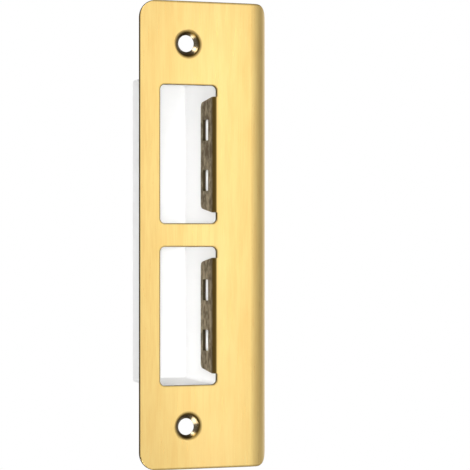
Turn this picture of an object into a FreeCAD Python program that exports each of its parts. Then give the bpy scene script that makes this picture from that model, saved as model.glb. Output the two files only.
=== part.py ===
import FreeCAD, Part
import math
import os

# Door strike plate with a dust box. All lengths in millimetres.
# X runs across the plate, Z up it and Y back into the door frame. The origin lies midway
# between the two screw holes, on the back face of the plate.

Vector = FreeCAD.Vector
Point2 = FreeCAD.Base.Vector2d

# Plate
plate_height = 170.0
sheet_thickness = 1.2
holes_to_left_edge = 18.45
holes_to_lip = 24.95
plate_corner_radius = 6.4
outline_edge_rounding = 0.38

# Lip, rolled back along the right edge
lip_inside_radius = 7.3
lip_turn_degrees = 60.0
lip_corner_radius = 6.4

# Windows, one above and one below the middle bar
window_width = 22.0
window_height = 50.2
middle_bar_height = 8.6
windows_right_of_holes = 0.4
window_corner_radius = 1.8

# Tabs, folded back at the right side of each window
tab_depth = 12.4
tab_inside_bend_radius = 0.2
tab_end_relief = 4.0
tab_side_taper = 1.7
tab_corner_radius = 2.0

# Slots, two in each tab
slot_length = 7.8
slot_width = 5.2
slot_corner_radius = 0.5
slot_spacing = 18.5
slot_to_tab_edge = 2.1

# Dished screw holes
screw_spacing = 139.3
screw_hole_diameter = 6.1
screw_hole_land = 0.3
dish_mouth_diameter = 9.4
dish_angle_degrees = 90.0
dish_inside_bend_radius = 0.2

# Dust box
box_depth = 30.3
box_wall = 1.2
box_draft_degrees = 2.0
box_corner_radius = 1.3
box_rim_in_window = 0.7
box_above_windows = 3.3
box_below_windows = 0.1
box_to_tab_gap = 0.2

# Catches inside the box, one for each slot
catch_length = 6.9
catch_height_in_slot = 0.25
catch_play = 0.5
catch_run = 3.2

# Places that follow from the sizes
plate_front = -sheet_thickness
lip_outside_radius = lip_inside_radius + sheet_thickness
lip_axis_y = lip_inside_radius
window_left = windows_right_of_holes - window_width / 2
window_right = windows_right_of_holes + window_width / 2
window_centre_z = (middle_bar_height + window_height) / 2
tab_bend_radius = tab_inside_bend_radius + sheet_thickness
tab_left_face = window_right - tab_bend_radius
tab_right_face = tab_left_face + sheet_thickness
tab_far_edge = plate_front + tab_depth
tab_root_height = window_height - 2 * tab_end_relief
slot_far_edge = tab_far_edge - slot_to_tab_edge
slot_near_edge = slot_far_edge - slot_width
draft_at_tab_edge = tab_far_edge * math.tan(math.radians(box_draft_degrees))
box_left = window_left + box_rim_in_window - box_wall
box_right = tab_right_face + box_to_tab_gap + draft_at_tab_edge + box_wall
box_top = window_centre_z + window_height / 2 + box_above_windows + box_wall
box_bottom = -(window_centre_z + window_height / 2 + box_below_windows + box_wall)


def rounded_corner(x, z, radius, start_degrees):
    """Quarter circle round (x, z) in the plane of the plate, starting at the angle given."""
    angles = [math.radians(start_degrees + step) for step in (0, 45, 90)]
    points = [Vector(x + radius * math.cos(a), 0, z + radius * math.sin(a)) for a in angles]
    return Part.Arc(*points).toShape()


def rounded_rectangle(left, right, bottom, top, radius, y):
    """Closed wire in the plane of the plate at depth y, with all four corners rounded."""
    edges = [
        Part.makeLine(Vector(right, 0, bottom + radius), Vector(right, 0, top - radius)),
        rounded_corner(right - radius, top - radius, radius, 0),
        Part.makeLine(Vector(right - radius, 0, top), Vector(left + radius, 0, top)),
        rounded_corner(left + radius, top - radius, radius, 90),
        Part.makeLine(Vector(left, 0, top - radius), Vector(left, 0, bottom + radius)),
        rounded_corner(left + radius, bottom + radius, radius, 180),
        Part.makeLine(Vector(left + radius, 0, bottom), Vector(right - radius, 0, bottom)),
        rounded_corner(right - radius, bottom + radius, radius, 270),
    ]
    wire = Part.Wire(edges)
    wire.translate(Vector(0, y, 0))
    return wire


def flat_face():
    """The flat sheet from its rounded left corners to the line where the lip begins."""
    left = -holes_to_left_edge
    top = plate_height / 2
    radius = plate_corner_radius
    edges = [
        Part.makeLine(Vector(holes_to_lip, 0, -top), Vector(holes_to_lip, 0, top)),
        Part.makeLine(Vector(holes_to_lip, 0, top), Vector(left + radius, 0, top)),
        rounded_corner(left + radius, top - radius, radius, 90),
        Part.makeLine(Vector(left, 0, top - radius), Vector(left, 0, radius - top)),
        rounded_corner(left + radius, radius - top, radius, 180),
        Part.makeLine(Vector(left + radius, 0, -top), Vector(holes_to_lip, 0, -top)),
    ]
    face = Part.Face(Part.Wire(edges))
    face.translate(Vector(0, plate_front, 0))
    return face.extrude(Vector(0, sheet_thickness, 0))


def lip():
    """The rolled lip: its flat blank with two rounded corners, laid on a cylinder and thickened."""
    cylinder = Part.Cylinder()
    cylinder.Center = Vector(holes_to_lip, lip_axis_y, 0)
    cylinder.Radius = lip_outside_radius
    top = plate_height / 2
    start = 1.5 * math.pi
    end = start + math.radians(lip_turn_degrees)
    corner_angle = lip_corner_radius / lip_outside_radius

    def straight(first, second):
        return Part.Geom2d.Line2dSegment(Point2(*first), Point2(*second)).toShape(cylinder)

    def corner(height, start_degrees):
        steps = 12
        points = []
        for step in range(steps + 1):
            angle = math.radians(start_degrees + 90 * step / steps)
            across = end - corner_angle + corner_angle * math.cos(angle)
            points.append(Point2(across, height + lip_corner_radius * math.sin(angle)))
        curve = Part.Geom2d.BSplineCurve2d()
        curve.interpolate(Points=points)
        return curve.toShape(cylinder)

    edges = [
        straight((start, -top), (end - corner_angle, -top)),
        corner(lip_corner_radius - top, -90),
        straight((end, lip_corner_radius - top), (end, top - lip_corner_radius)),
        corner(top - lip_corner_radius, 0),
        straight((end - corner_angle, top), (start, top)),
        straight((start, top), (start, -top)),
    ]
    face = Part.Face(cylinder, Part.Wire(Part.__sortEdges__(edges)))
    face.validate()
    return face.makeOffsetShape(-sheet_thickness, 0.0001, fill=True)


def window_opening(centre_z):
    """The through cut of one window."""
    half = window_height / 2
    wire = rounded_rectangle(window_left, window_right, centre_z - half, centre_z + half,
                             window_corner_radius, plate_front - 1)
    return Part.Face(wire).extrude(Vector(0, sheet_thickness + 2, 0))


def tab_bend_profile():
    """Edges of the folded sheet seen from above: the bend at the window's side and the straight tab."""
    axis = Vector(window_right, plate_front + tab_bend_radius, 0)

    def on_bend(radius, degrees):
        angle = math.radians(degrees)
        return axis + Vector(-radius * math.sin(angle), -radius * math.cos(angle), 0)

    outside = [on_bend(tab_bend_radius, degrees) for degrees in (0, 45, 90)]
    inside = [on_bend(tab_inside_bend_radius, degrees) for degrees in (90, 45, 0)]
    left_end = Vector(tab_left_face, tab_far_edge, 0)
    right_end = Vector(tab_right_face, tab_far_edge, 0)
    return Part.Wire([
        Part.Arc(*outside).toShape(),
        Part.makeLine(outside[2], left_end),
        Part.makeLine(left_end, right_end),
        Part.makeLine(right_end, inside[0]),
        Part.Arc(*inside).toShape(),
        Part.makeLine(inside[2], outside[0]),
    ])


def tab_outline(centre_z):
    """Side view of one tab: full height at the bend, tapered and rounded towards the far edge."""
    root = tab_root_height / 2
    end = root - tab_side_taper
    start_y = plate_front + tab_bend_radius
    corners = [
        Vector(0, plate_front - 1, centre_z - root),
        Vector(0, start_y, centre_z - root),
        Vector(0, tab_far_edge, centre_z - end),
        Vector(0, tab_far_edge, centre_z + end),
        Vector(0, start_y, centre_z + root),
        Vector(0, plate_front - 1, centre_z + root),
    ]
    prism = Part.Face(Part.makePolygon(corners + corners[:1])).extrude(Vector(2 * tab_bend_radius, 0, 0))
    prism.translate(Vector(tab_left_face - tab_bend_radius / 2, 0, 0))
    far_corners = [edge for edge in prism.Edges
                   if all(abs(vertex.Point.y - tab_far_edge) < 0.001 for vertex in edge.Vertexes)
                   and abs(edge.Vertexes[0].Point.z - edge.Vertexes[1].Point.z) < 0.001]
    return prism.makeFillet(tab_corner_radius, far_corners)


def slot(centre_z):
    """Slot through a tab, with small rounded corners."""
    corner = Vector(tab_left_face - 1, slot_near_edge, centre_z - slot_length / 2)
    block = Part.makeBox(sheet_thickness + 2, slot_width, slot_length, corner)
    along_the_cut = [edge for edge in block.Edges if abs(edge.BoundBox.XLength - block.BoundBox.XLength) < 0.001]
    return block.makeFillet(slot_corner_radius, along_the_cut)


def slot_centres(centre_z):
    return [centre_z + side * slot_spacing / 2 for side in (-1, 1)]


def tab(centre_z):
    """One slotted tab with its bend."""
    profile = Part.Face(tab_bend_profile())
    sheet = profile.extrude(Vector(0, 0, tab_root_height))
    sheet.translate(Vector(0, 0, centre_z - tab_root_height / 2))
    sheet = sheet.common(tab_outline(centre_z))
    for slot_z in slot_centres(centre_z):
        sheet = sheet.cut(slot(slot_z))
    return sheet


def dish():
    """Pressed dish round one screw hole, on the Y axis: rounded rim, cone and punched hole."""
    cone = math.radians(dish_angle_degrees / 2)
    turn = math.pi / 2 - cone
    rim_radius = dish_inside_bend_radius + sheet_thickness
    rim_start = dish_rim_start()
    hole = screw_hole_diameter / 2
    hole_front = Vector(hole, plate_front + (dish_mouth_diameter / 2 - hole) / math.tan(cone), 0)
    hole_land = hole_front + Vector(0, screw_hole_land, 0)
    hole_back = hole_front + sheet_thickness * Vector(math.cos(cone), math.sin(cone), 0)

    def on_rim(radius, angle):
        axis_y = plate_front + rim_radius
        return Vector(rim_start - radius * math.sin(angle), axis_y - radius * math.cos(angle), 0)

    front = [on_rim(rim_radius, angle) for angle in (0, turn / 2, turn)]
    back = [on_rim(dish_inside_bend_radius, angle) for angle in (turn, turn / 2, 0)]
    profile = Part.Wire([
        Part.Arc(*front).toShape(),
        Part.makeLine(front[2], hole_front),
        Part.makeLine(hole_front, hole_land),
        Part.makeLine(hole_land, hole_back),
        Part.makeLine(hole_back, back[0]),
        Part.Arc(*back).toShape(),
        Part.makeLine(back[2], front[0]),
    ])
    return Part.Face(profile).revolve(Vector(0, 0, 0), Vector(0, 1, 0), 360)


def dish_rim_start():
    """Radius at which the flat face begins to roll into the dish."""
    turn = math.pi / 2 - math.radians(dish_angle_degrees / 2)
    return dish_mouth_diameter / 2 + (dish_inside_bend_radius + sheet_thickness) * math.tan(turn / 2)


def on_front_skin(point):
    """True on the flat front of the sheet and on the outside of the lip."""
    if point.x <= holes_to_lip:
        return abs(point.y - plate_front) < 0.001
    return abs(math.hypot(point.x - holes_to_lip, point.y - lip_axis_y) - lip_outside_radius) < 0.001


def is_sharp(sheet, edge):
    """True where the two faces beside an edge meet at an angle."""
    middle = edge.valueAt((edge.FirstParameter + edge.LastParameter) / 2)
    normals = []
    for face in sheet.ancestorsOfType(edge, Part.Face):
        normals.append(face.normalAt(*face.Surface.parameter(middle)))
    return len(normals) == 2 and normals[0].dot(normals[1]) < 0.9


def sharp_front_edges(sheet):
    """The cut edges of the front skin: the outline and the windows."""
    edges = []
    for edge in sheet.Edges:
        span = edge.LastParameter - edge.FirstParameter
        points = [edge.valueAt(edge.FirstParameter + span * share) for share in (0, 0.25, 0.5, 0.75, 1)]
        if all(on_front_skin(point) for point in points) and is_sharp(sheet, edge):
            edges.append(edge)
    return edges


def strike_plate():
    """The whole folded sheet."""
    sheet = flat_face().fuse(lip())
    for side in (1, -1):
        centre_z = side * window_centre_z
        sheet = sheet.cut(window_opening(centre_z)).fuse(tab(centre_z))
        blank = Part.makeCylinder(dish_rim_start(), sheet_thickness + 2, Vector(0, plate_front - 1, 0), Vector(0, 1, 0))
        dished = dish()
        for piece in (blank, dished):
            piece.translate(Vector(0, 0, side * screw_spacing / 2))
        sheet = sheet.cut(blank).fuse(dished)
    sheet = sheet.removeSplitter().Solids[0]
    window_to_dish = screw_spacing / 2 - dish_rim_start() - window_centre_z - window_height / 2
    rounding = min(outline_edge_rounding, sheet_thickness / 3, window_to_dish / 2)
    return sheet.makeFillet(rounding, sharp_front_edges(sheet))


def box_section(inset, depth):
    """Outline of the box at a depth behind the plate, inset from its outside by the amount given."""
    draft = depth * math.tan(math.radians(box_draft_degrees))
    shrink = inset + draft
    return rounded_rectangle(box_left + shrink, box_right - shrink, box_bottom + shrink, box_top - shrink,
                             box_corner_radius, depth)


def drafted_block(inset, front, back):
    return Part.makeLoft([box_section(inset, front), box_section(inset, back)], True, True)


def round_far_edges(block, depth, radius):
    far_edges = [edge for edge in block.Edges
                 if abs(edge.BoundBox.YMin - depth) < 0.001 and abs(edge.BoundBox.YMax - depth) < 0.001]
    return block.makeFillet(radius, far_edges)


def catch(slot_z):
    """Ramped catch on the box's right wall, standing a little way into a slot of the tab.
    The slot's far end stops it, so the box can't slide back off the tabs."""
    stop_y = slot_far_edge - catch_play
    tip_x = tab_right_face - catch_height_in_slot
    draft = math.tan(math.radians(box_draft_degrees))
    root_x = box_right - box_wall / 2 - stop_y * draft
    ramp_foot_x = box_right - box_wall - (stop_y - catch_run) * draft
    corners = [
        Vector(root_x, stop_y, 0),
        Vector(tip_x, stop_y, 0),
        Vector(tip_x, stop_y - catch_run / 5, 0),
        Vector(ramp_foot_x, stop_y - catch_run, 0),
        Vector(root_x, stop_y - catch_run, 0),
    ]
    wedge = Part.Face(Part.makePolygon(corners + corners[:1])).extrude(Vector(0, 0, catch_length))
    wedge.translate(Vector(0, 0, slot_z - catch_length / 2))
    return wedge


def dust_box():
    """Open moulded box with drafted walls, one cavity behind both windows."""
    outside = round_far_edges(drafted_block(0, 0, box_depth), box_depth, box_corner_radius)
    floor = box_depth - box_wall
    cavity = drafted_block(box_wall, 0, floor)
    box = outside.cut(round_far_edges(cavity, floor, box_corner_radius / 2))
    for side in (1, -1):
        for slot_z in slot_centres(side * window_centre_z):
            box = box.fuse(catch(slot_z))
    return box.removeSplitter()


os.makedirs("parts", exist_ok=True)
for name, build in (("strike_plate", strike_plate), ("dust_box", dust_box)):
    shape = build()
    if shape.ShapeType != "Solid":
        shape = shape.Solids[0]
    print(name, shape.isValid(), round(shape.Volume, 1), shape.BoundBox)
    shape.exportStep("parts/" + name + ".step")
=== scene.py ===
import math

import bpy
from mathutils import Matrix, Vector


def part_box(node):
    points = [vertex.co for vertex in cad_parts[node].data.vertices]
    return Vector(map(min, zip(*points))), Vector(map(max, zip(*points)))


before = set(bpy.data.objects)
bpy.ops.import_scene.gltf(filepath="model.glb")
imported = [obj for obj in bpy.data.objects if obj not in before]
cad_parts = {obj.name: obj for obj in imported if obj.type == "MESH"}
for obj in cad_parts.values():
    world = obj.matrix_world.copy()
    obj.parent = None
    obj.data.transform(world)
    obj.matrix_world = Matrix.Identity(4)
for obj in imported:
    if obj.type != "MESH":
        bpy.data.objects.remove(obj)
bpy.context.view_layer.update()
mm = 0.001


# Strike plate
# The real plate is one piece of brass sheet, punched, folded and pressed, then brushed along its
# length and lacquered on its front only. Screws through its two dished holes fix it to the frame.

def linear(hex_colour):
    """An sRGB hex colour as linear red, green, blue and alpha 1."""
    channels = [int(hex_colour[i:i + 2], 16) / 255 for i in (1, 3, 5)]
    return [c / 12.92 if c <= 0.04045 else ((c + 0.055) / 1.055) ** 2.4 for c in channels] + [1.0]


def new_material(name):
    material = bpy.data.materials.new(name)
    material.use_nodes = True
    material.node_tree.nodes.clear()
    return material


def dress(node_name, material):
    """Gives a node of the part its finish, in every slot it has."""
    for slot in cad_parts[node_name].material_slots:
        slot.material = material


def add(material, kind, inputs=None, **settings):
    """Adds a node to a material or the world: settings are its properties, inputs its sockets by
    name or number, each a value or another node's output to link."""
    tree = material.node_tree
    node = tree.nodes.new(kind)
    for name, value in settings.items():
        setattr(node, name, value)
    for name, value in (inputs or {}).items():
        if isinstance(value, bpy.types.NodeSocket):
            tree.links.new(value, node.inputs[name])
        else:
            node.inputs[name].default_value = value
    return node


def maths(material, operation, *inputs, **settings):
    """The result of a sum on one or two numbers."""
    numbered = dict(enumerate(inputs))
    return add(material, "ShaderNodeMath", numbered, operation=operation, **settings).outputs[0]


def ramp(material, value, span=(0.0, 1.0), low=0.0, high=1.0, **settings):
    """A number that goes from low to high while a value goes through a span, and is level
    outside it. The first end of the span gives low and the second high, whichever is larger."""
    ends = {"Value": value, "From Min": span[0], "From Max": span[1], "To Min": low, "To Max": high}
    return add(material, "ShaderNodeMapRange", ends, **settings).outputs[0]


def mix_colours(material, share, first, second):
    """A blend of two colours, by a share from 0 to 1."""
    colours = {"Factor": share, 6: first, 7: second}
    return add(material, "ShaderNodeMix", colours, data_type="RGBA").outputs[2]


def mix_numbers(material, share, first, second):
    """A blend of two numbers, by a share from 0 to 1."""
    return add(material, "ShaderNodeMix", {"Factor": share, 2: first, 3: second}).outputs[0]


def length(material, vector):
    return add(material, "ShaderNodeVectorMath", {0: vector}, operation="LENGTH").outputs["Value"]


def noise(material, place, grain, detail, roughness):
    """A soft noise round 0.5, whose grains have a width, a depth and a length."""
    scaled = add(material, "ShaderNodeMapping", {"Vector": place, "Scale": [1 / size for size in grain]})
    sockets = {"Vector": scaled.outputs[0], "Scale": 1.0, "Detail": detail, "Roughness": roughness}
    return add(material, "ShaderNodeTexNoise", sockets).outputs[0]


# Brushed and lacquered brass: the front is bright, with fine streaks along the plate. Where the
# sheet turns away from the front plane, at its edges, folds and pressed dishes, a dark brown is
# painted in as shade and dark reflections. The tabs are paler, grey-brown and dull, from rolling.
# A span below says where an effect begins and where it is full, and a share how strong it gets.
# Spans of facing are of the surface's unit normal: its Y is -1 where it faces the front.
brass = new_material("brushed lacquered brass")
plate_low, plate_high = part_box("strike_plate")
brushed_facing = (-0.22, -0.5)
coordinates = add(brass, "ShaderNodeTexCoord")
brass_place = coordinates.outputs["Object"]
x, y, z = add(brass, "ShaderNodeSeparateXYZ", {0: brass_place}).outputs
facing = add(brass, "ShaderNodeSeparateXYZ", {0: coordinates.outputs["Normal"]})
facing_x, facing_y, facing_z = facing.outputs
from_middle = maths(brass, "ABSOLUTE", z)  # of the plate, up and down alike
faces_front = ramp(brass, facing_y, brushed_facing, interpolation_type="SMOOTHSTEP")

# Painted shade where the sheet has dropped behind its front plane, and where it turns up, down or
# right: dark reflections painted along the edges. The rolled lip is left out, so it stays bright.
lip_start = 24.95 * mm
dropped_span = (plate_low[1] + 0.05 * mm, plate_low[1] + 0.12 * mm)
facing_right_span = (0.05, 0.25)
facing_right_share = 0.7
tilt_span = (0.1, 0.4)
tilt_share = 0.3
left_of_lip = maths(brass, "LESS_THAN", x, lip_start)
dropped = maths(brass, "MULTIPLY", left_of_lip, ramp(brass, y, dropped_span))
facing_right = maths(brass, "MULTIPLY", facing_x, left_of_lip)
turned_right = ramp(brass, facing_right, facing_right_span, high=facing_right_share)
tilt = maths(brass, "ABSOLUTE", facing_z)
tilted = ramp(brass, tilt, tilt_span, high=tilt_share)
turned = maths(brass, "MAXIMUM", tilted, turned_right)
at_edge = maths(brass, "MAXIMUM", dropped, turned)

# Beside the folds of the tabs a narrow strip of painted shade runs along the face.
fold_line = 11.4 * mm          # where the flat face turns into a tab
fold_middle = 29.4 * mm        # the middle of a tab and of its window, above the plate's middle
fold_length = 42.2 * mm
fold_strip_span = (fold_line + 0.25 * mm, fold_line - 0.45 * mm)
from_fold_middle = maths(brass, "ABSOLUTE", maths(brass, "SUBTRACT", from_middle, fold_middle))
along_fold = maths(brass, "LESS_THAN", from_fold_middle, fold_length / 2)
in_right_half = maths(brass, "GREATER_THAN", x, 0.0)
beside_fold = maths(brass, "MULTIPLY", along_fold, in_right_half)
fold_painted_shade = maths(brass, "MULTIPLY", beside_fold, ramp(brass, x, fold_strip_span))
edge_or_fold = maths(brass, "MAXIMUM", at_edge, fold_painted_shade)

# A thin line of painted shade runs along the cuts: round each window, but not along its fold,
# and along the plate's top and bottom.
window_middle = 0.4 * mm
window_width = 22.0 * mm
window_height = 50.2 * mm
window_corner = 1.8 * mm
window_line_span = (window_corner + 0.65 * mm, window_corner + 0.35 * mm)
window_line_share = 0.35
end_line_span = (plate_high[2] - 0.85 * mm, plate_high[2] - 0.45 * mm)
end_line_share = 0.45
corner_centre = (window_width / 2 - window_corner, 0, window_height / 2 - window_corner)
across_window = maths(brass, "ABSOLUTE", maths(brass, "SUBTRACT", x, window_middle))
in_window = add(brass, "ShaderNodeCombineXYZ", {"X": across_window, "Z": from_fold_middle})
past_corner = add(brass, "ShaderNodeVectorMath", {0: in_window.outputs[0], 1: corner_centre},
                  operation="SUBTRACT")
corner_offset = add(brass, "ShaderNodeVectorMath", {0: past_corner.outputs[0], 1: (0, 0, 0)},
                    operation="MAXIMUM")
corner_distance = length(brass, corner_offset.outputs[0])
round_window = ramp(brass, corner_distance, window_line_span, high=window_line_share)
beside_window = maths(brass, "SUBTRACT", round_window, beside_fold, use_clamp=True)
at_plate_ends = ramp(brass, from_middle, end_line_span, high=end_line_share)
beside_cut = maths(brass, "MAXIMUM", beside_window, at_plate_ends)
painted_dark_lines = maths(brass, "MAXIMUM", edge_or_fold, beside_cut)

# In the pressed rim of a dish the painted shade comes in gradually inwards instead. The painted
# dish shade is centred a little inside and to the right of its screw hole.
dish_spacing = 138.6 * mm
dish_offset = 0.3 * mm
rim_edge_span = (5.3 * mm, 5.35 * mm)
rim_fade_span = (5.5 * mm, 4.4 * mm)
above_dish = maths(brass, "SUBTRACT", from_middle, dish_spacing / 2)
right_of_dish = maths(brass, "SUBTRACT", x, dish_offset)
from_dish = add(brass, "ShaderNodeCombineXYZ", {"X": right_of_dish, "Z": above_dish})
dish_distance = length(brass, from_dish.outputs[0])
outside_rim = maths(brass, "MULTIPLY", painted_dark_lines, ramp(brass, dish_distance, rim_edge_span))
turned_away = maths(brass, "MAXIMUM", outside_rim, ramp(brass, dish_distance, rim_fade_span))
in_plane = maths(brass, "SUBTRACT", 1.0, turned_away)
front_skin = maths(brass, "MULTIPLY", faces_front, in_plane)

# The brush drew fine streaks along the plate, and broader bands of them.
streak_width = 0.45 * mm       # real brush lines are about 0.1 mm, too fine for the picture
streak_length = 10 * mm
band_width = 5 * streak_width
band_length = streak_length / 0.6
streak_span = (0.76, 1.24)
streak_colours = (linear("#F8D079"), linear("#FEDC86"))
streaks = noise(brass, brass_place, (streak_width, streak_width, streak_length),
                detail=3.0, roughness=0.6)
bands = noise(brass, brass_place, (band_width, band_width, band_length), detail=2.0, roughness=0.5)
streaks_and_bands = maths(brass, "ADD", streaks, bands)
bright_colour = mix_colours(brass, ramp(brass, streaks_and_bands, streak_span), *streak_colours)

# The skin of the tabs, with soft rolled spots drawn out along the sheet, and the plainer back.
spot_width = 1.8 * mm
spot_length = spot_width / 0.55
spot_colours = ((0.37, "#625238"), (0.65, "#AF9F80"))
facing_back_span = (0.2, 0.7)
plain_share = 0.8
plain_level = 0.5              # the middle of the noise
spots = noise(brass, brass_place, (spot_width, spot_width, spot_length), detail=4.0, roughness=0.6)
plain_back = ramp(brass, facing_y, facing_back_span, high=plain_share)
spot_level = mix_numbers(brass, plain_back, spots, plain_level)
rolled_colour = add(brass, "ShaderNodeValToRGB", {"Fac": spot_level})
for stop, (level, colour) in zip(rolled_colour.color_ramp.elements, spot_colours):
    stop.position = level
    stop.color = linear(colour)

# The painted shade reaches round the edges and folds to the back of the plate, and lies on what
# faces forward behind it, such as the slots' far ends: dark brown near the front, grey-brown deeper.
round_fold_span = (1.8 * mm, -0.6 * mm)
not_back_span = (0.7, 0.3)
behind_plate_span = (1.0 * mm, 3.0 * mm)
painted_edge_shade = linear("#57441D")
painted_deep_shade = linear("#5F5440")
round_fold = maths(brass, "MULTIPLY", ramp(brass, y, round_fold_span),
                   ramp(brass, facing_y, not_back_span))
painted_shade_share = maths(brass, "MAXIMUM", round_fold, faces_front)
painted_shade_colour = mix_colours(brass, ramp(brass, y, behind_plate_span), painted_edge_shade, painted_deep_shade)

# The punch burnished the dishes round the screw holes, so they mirror more sharply. Their colour is
# a paler painted shade, for the dark reflections in the dish; the lamps give the glints.
pale_span = (4.2 * mm, 3.3 * mm)
painted_dish_shade = linear("#82765F")
burnished_span = (4.8 * mm, 4.1 * mm)
# The skin here is the painted shade on the edges and folds, beside the rolled patina of the tabs.
dull = 0.55                    # roughness of the skin, and of a burnished dish
burnished = 0.25
painted_edge_or_dish_shade = mix_colours(brass, ramp(brass, dish_distance, pale_span), painted_shade_colour, painted_dish_shade)
patina_or_painted_shade = mix_colours(brass, painted_shade_share, rolled_colour.outputs[0], painted_edge_or_dish_shade)
dull_roughness = mix_numbers(brass, ramp(brass, dish_distance, burnished_span), dull, burnished)

# The front shows its streaks in colour, gloss and relief, under the lacquer.
gloss_span = (0.3, 0.7)
brushed_roughness = (0.27, 0.38)
streak_depth = 0.02 * mm
brass_colour = mix_colours(brass, front_skin, patina_or_painted_shade, bright_colour)
bright_roughness = ramp(brass, streaks, gloss_span, *brushed_roughness)
brass_roughness = mix_numbers(brass, front_skin, dull_roughness, bright_roughness)
scratches = add(brass, "ShaderNodeBump",
                {"Height": streaks_and_bands, "Strength": 0.12, "Distance": streak_depth})
metal = add(brass, "ShaderNodeBsdfPrincipled",
            {"Base Color": brass_colour, "Metallic": 1.0, "Roughness": brass_roughness,
             "Normal": scratches.outputs[0], "Coat Weight": front_skin, "Coat Roughness": 0.15})
add(brass, "ShaderNodeOutputMaterial", {"Surface": metal.outputs[0]})
dress("strike_plate", brass)


# Dust box
# The real box is one moulding of white plastic, open at the front, that keeps dust and chips
# out of the lock's bolts. It clicks onto the slotted tabs behind the plate.

# Matt white polypropylene: a little light passes into it, so its hollow looks bright and its
# shadows soft. The mould left a very fine grain, and the white is faintly cloudy.
plastic = new_material("moulded white polypropylene")
grain_size = 0.5 * mm
grain_depth = 0.02 * mm
cloud_size = 18 * mm
cloud_colours = (linear("#F6F6F5"), linear("#FBFBFB"))
light_reach = 0.8 * mm
plastic_place = add(plastic, "ShaderNodeTexCoord").outputs["Object"]
grain = noise(plastic, plastic_place, [grain_size] * 3, detail=2.0, roughness=0.5)
cloud = noise(plastic, plastic_place, [cloud_size] * 3, detail=2.0, roughness=0.5)
plastic_colour = mix_colours(plastic, cloud, *cloud_colours)
grain_bump = add(plastic, "ShaderNodeBump", {"Height": grain, "Strength": 0.1, "Distance": grain_depth})
moulding = add(plastic, "ShaderNodeBsdfPrincipled",
               {"Base Color": plastic_colour, "Roughness": 0.5, "IOR": 1.49, "Subsurface Weight": 1.0,
                "Subsurface Radius": (1, 1, 1), "Subsurface Scale": light_reach,
                "Normal": grain_bump.outputs[0]})
add(plastic, "ShaderNodeOutputMaterial", {"Surface": moulding.outputs[0]})
dress("dust_box", plastic)


# Floor and surroundings
# The part is held up in front of a white page, as it would sit in a door frame, so the floor
# lies well below it.

white = (1, 1, 1, 1)
floor_drop = 300 * mm
floor_half_width = 2500 * mm
floor_glow = 0.5               # for the eye alone, which sees the floor as white as the page
floor_paint = new_material("white studio floor")
floor_bsdf = add(floor_paint, "ShaderNodeBsdfPrincipled",
                 {"Base Color": linear("#E6E6E6"), "Roughness": 0.9})
floor_white = add(floor_paint, "ShaderNodeEmission", {"Color": white, "Strength": floor_glow})
floor_rays = add(floor_paint, "ShaderNodeLightPath")
floor_sum = add(floor_paint, "ShaderNodeAddShader", {0: floor_bsdf.outputs[0], 1: floor_white.outputs[0]})
floor_mix = add(floor_paint, "ShaderNodeMixShader",
                {"Fac": floor_rays.outputs["Is Camera Ray"], 1: floor_bsdf.outputs[0],
                 2: floor_sum.outputs[0]})
add(floor_paint, "ShaderNodeOutputMaterial", {"Surface": floor_mix.outputs[0]})
floor_z = plate_low[2] - floor_drop
floor_corners = [(side_x * floor_half_width, side_y * floor_half_width, floor_z)
                 for side_x, side_y in ((-1, -1), (1, -1), (1, 1), (-1, 1))]
floor_mesh = bpy.data.meshes.new("floor")
floor_mesh.from_pydata(floor_corners, [], [(0, 1, 2, 3)])
floor = bpy.data.objects.new("floor", floor_mesh)
floor.data.materials.append(floor_paint)
bpy.context.scene.collection.objects.link(floor)

# What the metal mirrors is white in front and behind to the right, and dark elsewhere, so that
# the rolled lip, the folds and the edges mirror soft dark lines. The spans are of a unit direction.
world = bpy.data.worlds.new("studio")
bpy.context.scene.world = world
world.use_nodes = True
world.node_tree.nodes.clear()
front_span = (0.0, -0.9)
bright_behind = math.radians(35)       # to the right of straight behind
behind_span = (0.45, 1.0)
falloff_power = 2.0                    # a larger one makes the bright stretches narrower
dark_level = 0.34
darker_above_and_below = 0.2
direction = add(world, "ShaderNodeTexCoord").outputs["Generated"]
towards = add(world, "ShaderNodeSeparateXYZ", {0: direction})
behind_right = add(world, "ShaderNodeVectorMath",
                   {0: direction, 1: (math.sin(bright_behind), math.cos(bright_behind), 0)},
                   operation="DOT_PRODUCT")
in_front = ramp(world, towards.outputs["Y"], front_span)
behind = ramp(world, behind_right.outputs["Value"], behind_span)
nearest = maths(world, "MAXIMUM", in_front, behind)
falloff = maths(world, "POWER", nearest, falloff_power)
steepness = maths(world, "POWER", towards.outputs["Z"], 2.0)
darkest = ramp(world, steepness, low=dark_level, high=dark_level - darker_above_and_below)
mirrored_level = ramp(world, falloff, low=darkest, high=1.0)
mirrored = add(world, "ShaderNodeBackground", {"Color": white, "Strength": mirrored_level})

# As a light the surroundings are more even, and the eye sees the white page.
light_levels = (0.58, 0.98)            # where the metal mirrors the dark level, and white
light_level = ramp(world, mirrored_level, (dark_level, 1.0), *light_levels)
lighting = add(world, "ShaderNodeBackground", {"Color": white, "Strength": light_level})
page = add(world, "ShaderNodeBackground", {"Color": white, "Strength": 1.0})
rays = add(world, "ShaderNodeLightPath")
seen = maths(world, "MAXIMUM", rays.outputs["Is Camera Ray"], rays.outputs["Is Transmission Ray"])
unseen = add(world, "ShaderNodeMixShader",
             {"Fac": rays.outputs["Is Glossy Ray"], 1: lighting.outputs[0], 2: mirrored.outputs[0]})
world_mix = add(world, "ShaderNodeMixShader", {"Fac": seen, 1: unseen.outputs[0], 2: page.outputs[0]})
add(world, "ShaderNodeOutputWorld", {"Surface": world_mix.outputs[0]})


# Camera
# A long lens, level, a little to the left of the plate, as in the photograph.

yaw = math.radians(22.5)
plate_to_camera = 849.7 * mm           # from the plate's left edge, along the view
left_edge_off_axis = 34.2 * mm         # the left edge lies this far left of the line of sight
camera_height = -2.0 * mm
sensor_width = 36.0                    # mm
focal_pixels = 2360.0
picture_pixels = 470
horizon_below_middle = 5.6             # pixels
nearest_seen = 10 * mm

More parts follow.
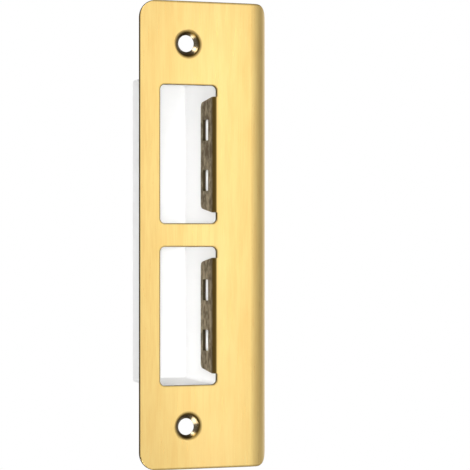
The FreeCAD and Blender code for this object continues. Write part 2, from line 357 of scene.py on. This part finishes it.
view = Vector((math.sin(yaw), math.cos(yaw), 0))
right = Vector((math.cos(yaw), -math.sin(yaw), 0))
up = Vector((0, 0, 1))
left_edge = Vector((plate_low[0], plate_low[1], camera_height))
camera_place = left_edge - view * plate_to_camera + right * left_edge_off_axis
camera_axes = Matrix((right, up, -view)).transposed()
camera_data = bpy.data.cameras.new("camera")
camera_data.sensor_width = sensor_width
camera_data.lens = sensor_width * focal_pixels / picture_pixels
camera_data.shift_y = horizon_below_middle / picture_pixels
camera_data.clip_start = nearest_seen
camera = bpy.data.objects.new("camera", camera_data)
camera.matrix_world = Matrix.Translation(camera_place) @ camera_axes.to_4x4()
bpy.context.scene.collection.objects.link(camera)
bpy.context.scene.camera = camera


# Lamps
# Softboxes, with their places and sizes in millimetres and their power in watts. All but the
# strip are turned to the middle of the plate.

middle = (0, 0, 0)
narrow_beam = math.radians(80)


def softbox(name, place, target, width, height, power):
    """A rectangular lamp at a place, turned to a target."""
    lamp_data = bpy.data.lights.new(name, "AREA")
    lamp_data.shape = "RECTANGLE"
    lamp_data.size = width * mm
    lamp_data.size_y = height * mm
    lamp_data.energy = power
    lamp = bpy.data.objects.new(name, lamp_data)
    lamp.location = Vector(place) * mm
    aim = Vector(target) * mm - lamp.location
    lamp.rotation_euler = aim.to_track_quat("-Z", "Y").to_euler()
    bpy.context.scene.collection.objects.link(lamp)
    return lamp


# These light the plate and the box's hollow, and aren't mirrored.
for name, place, power in (
        ("softbox beside the camera", (-280, -825, 0), 0.73),
        ("softbox on the left, for the box's right wall", (-520, -670, 0), 0.51)):
    fill = softbox(name, place, middle, width=150, height=60, power=power)
    fill.visible_glossy = False
    fill.data.spread = narrow_beam

strip = softbox("narrow softbox mirrored in the face", (61, -130, -7), (9, 0, -7),
                width=20, height=214, power=0.0113)
strip.visible_camera = False

# These are only mirrored, and make the glints in the dishes.
for name, place, width, height, power in (
        ("high softbox on the left", (-330, -175, 470), 330, 260, 2.8),
        ("low softbox on the left", (-175, -100, -292), 80, 260, 0.7)):
    side_lamp = softbox(name, place, middle, width, height, power)
    side_lamp.visible_camera = False
    side_lamp.visible_diffuse = False

bpy.context.scene.view_settings.view_transform = "Standard"
